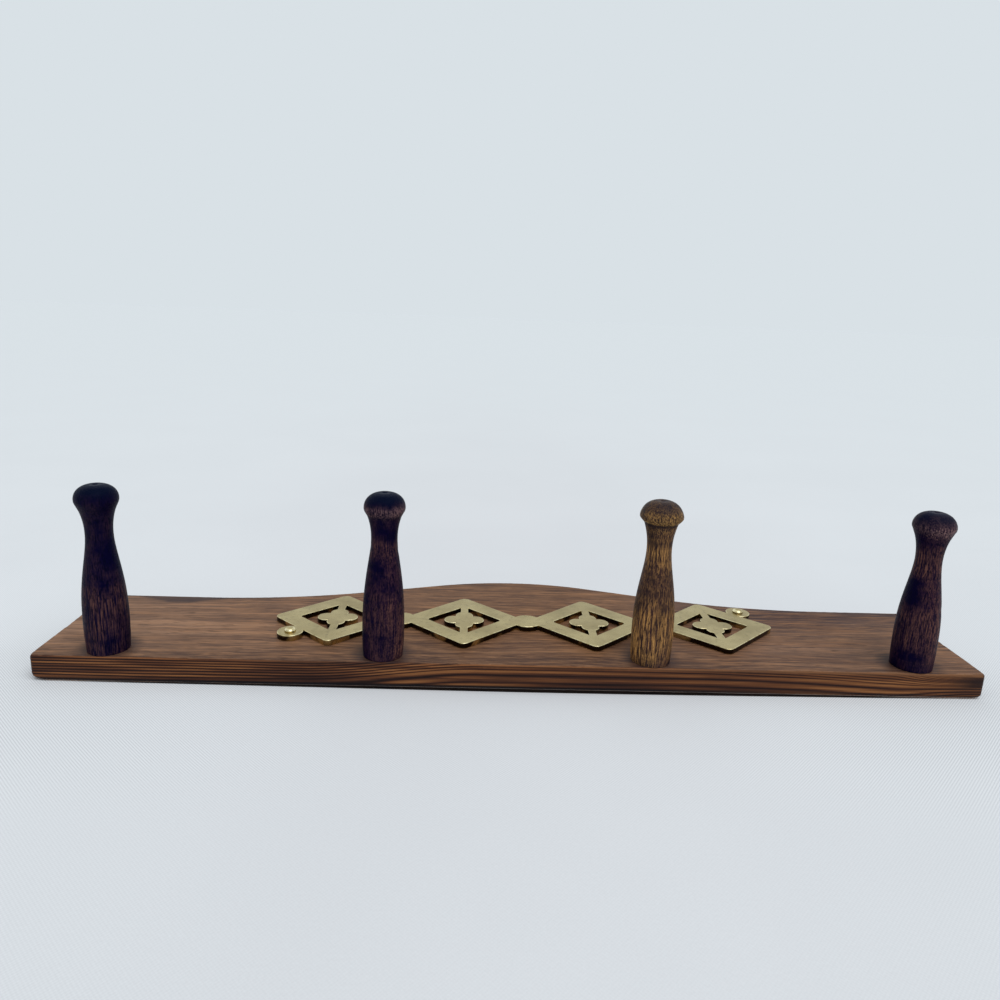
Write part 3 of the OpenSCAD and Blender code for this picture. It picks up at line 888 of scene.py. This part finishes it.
def add_cloth():
    """The pale cloth that the rack lies on, open behind the board. It sinks a little away
    from the middle of the board's lower edge."""
    line = board_outline()[0]
    low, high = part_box("board")
    middle = np.array([0, (low.z + high.z) / 2 - 10 * MM])
    way = line - middle
    half = np.array([high.x, middle[1] - low.z])

    # Three rings lie under the board, so many mm inside its ends and its lower edge, and
    # the others round it. Each is given with how many mm it sinks
    under = ((4, 12), 2.8), ((3, 5), 2.6), ((1.5, 2), 2.1)
    rings = [(middle + way * (1 - np.array(inset) * MM / half), sink) for inset, sink in under]
    way = way / np.hypot(*way.T)[:, None]
    rings += [(line + way * reach, 1.0) for reach in (0, 0.003, 0.008, 0.016, 0.03, 0.06, 0.12,
                                                      0.3, 1, 4, 30)]
    points = []
    for ring, sink in rings:
        sunk = sink * np.exp(-((ring[:, 0] - 0.02) / 0.13) ** 2
                             - ((ring[:, 1] - low.z) / 0.03) ** 2)
        points += [(x, (0.25 + deep) * MM, z) for (x, z), deep in zip(ring, sunk)]
    count = len(line)
    piece = mesh_piece("cloth", points, bands(len(rings), count))
    if piece.data.polygons[0].normal.y > 0:
        piece.data.flip_normals()
    piece.data.materials.append(cloth("cloth"))
    piece.data.materials.append(cloth("cloth_under_board", under_board=True))
    for face in piece.data.polygons[:len(under) * count]:
        face.material_index = 1


def hung(v):
    """A direction of the rack on its back, as it hangs."""
    return Vector((v.x, -v.z, v.y))


def add_camera():
    ahead = Vector((math.sin(CAMERA_YAW) * math.cos(CAMERA_PITCH),
                    math.cos(CAMERA_YAW) * math.cos(CAMERA_PITCH), -math.sin(CAMERA_PITCH)))
    side = Vector((math.cos(CAMERA_YAW), -math.sin(CAMERA_YAW), 0))
    down = ahead.cross(side)
    right = side * math.cos(CAMERA_ROLL) + down * math.sin(CAMERA_ROLL)
    up = side * math.sin(CAMERA_ROLL) - down * math.cos(CAMERA_ROLL)
    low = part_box("board")[0]
    place = hung(Vector(CAMERA_STAND)) + Vector((0, low.y, low.z))
    turn = Matrix([hung(right), hung(up), hung(-ahead)]).transposed()
    data = bpy.data.cameras.new("camera")
    data.sensor_width = CAMERA_SENSOR
    data.lens = CAMERA_LENS
    data.clip_start = 0.01
    camera = bpy.data.objects.new("camera", data)
    camera.matrix_world = Matrix.Translation(place) @ turn.to_4x4()
    scene.collection.objects.link(camera)
    scene.camera = camera


def add_sun(name, way, strength, spread, mirrored=True):
    """A soft lamp; way points from the rack to it. One that isn't mirrored is left out of
    glossy reflections."""
    data = bpy.data.lights.new(name, "SUN")
    data.energy = strength
    data.angle = math.radians(spread)
    lamp = bpy.data.objects.new(name, data)
    lamp.rotation_euler = Vector(way).to_track_quat("Z", "Y").to_euler()
    lamp.visible_glossy = mirrored
    scene.collection.objects.link(lamp)


def add_light():
    """Even studio light. The camera and the brass see a pale backdrop in its place."""
    world = bpy.data.worlds.new("studio")
    scene.world = world
    s = Shader(world)
    path = s.add("LightPath").outputs
    seen = s.math("MAXIMUM", path["Is Camera Ray"], s.math(
        "MAXIMUM", path["Is Glossy Ray"], path["Is Transmission Ray"]))
    light = s.add("Background", Color=(1, 1, 1, 1), Strength=0.52).outputs[0]
    back = s.add("Background", Color=(*srgb(217, 225, 230), 1), Strength=1.0).outputs[0]
    mixed = s.add("MixShader", s0=seen, s1=light, s2=back).outputs[0]
    s.add("OutputWorld", Surface=mixed)
    add_sun("key", KEY_WAY, 0.74, 50, mirrored=False)
    add_sun("key_sheen", KEY_WAY, 0.94, 50)
    add_sun("fill_behind", (0.3, 1.0, 0.2), 0.6, 60)


add_camera()
add_light()
add_cloth()
make_board(board_wood())

# The stain of each peg: dark and middling, worn on the shaft and on the head, and in the pores
worn = srgb(114, 78, 66)
black = (srgb(2, 0, 33), srgb(13, 6, 36), worn, worn, srgb(0, 0, 22))
dark = (srgb(4, 0, 33), srgb(27, 11, 37), worn, srgb(138, 108, 106), srgb(2, 0, 24))
golden = (srgb(42, 27, 26), srgb(64, 42, 38), srgb(192, 143, 82), srgb(206, 160, 90),
          srgb(24, 11, 20))
make_peg("peg_1", peg_wood("peg_1", black, 1, [
    (0, 0.2), (5, 0.32), (15, 0.42), (20, 0.5), (27, 0.3), (31, 0.06), (62, 0.03),
    (71, 0.0)],
    gloss=0.34, shine=0.04, top=0.98, foot=-0.08, side=-0.08, long=0.85))
make_peg("peg_2", peg_wood("peg_2", dark, 2, [
    (0, 0.3), (10, 0.3), (15, 0.36), (20, 0.45), (30, 0.16), (34, 0.12), (42, 0.1), (50, 0.5),
    (53.5, 0.05), (61, 0.06), (63, 0.55), (65.5, 0.5), (68, 0.05)],
    gloss=0.36, shine=0.04, top=0.97, foot=0.62, side=0.12, long=0.6))
make_peg("peg_3", peg_wood("peg_3", golden, 3, [
    (0, 0.2), (5, 0.58), (15, 0.8), (20, 0.72), (27, 0.36), (36, 0.15), (43, 0.34), (50, 0.8),
    (55, 0.3), (62.3, 0.32), (63, 0.7), (65, 0.55), (68, 0.35)],
    gloss=0.42, shine=0.12, top=0.6, foot=-0.35, side=0.06, long=0.74))
make_peg("peg_4", peg_wood("peg_4", dark, 4, [
    (0, 0.1), (8, 0.4), (15, 0.7), (24, 0.8), (30, 0.28), (36, 0.2), (41, 0.3), (46, 0.9),
    (51, 0.9), (57, 0.1), (59.5, 0.12), (61, 0.65), (64.5, 0.75), (67, 0.4)],
    gloss=0.36, shine=0.04, top=0.7, foot=0.3, side=0.26, long=0.55))
make_ornament(brass("cast_brass", srgb(197, 177, 124), srgb(170, 151, 103), 0.2, 0.38))
make_pins(brass("pin_brass", srgb(205, 184, 128), srgb(176, 156, 106), 0.18, 0.3))
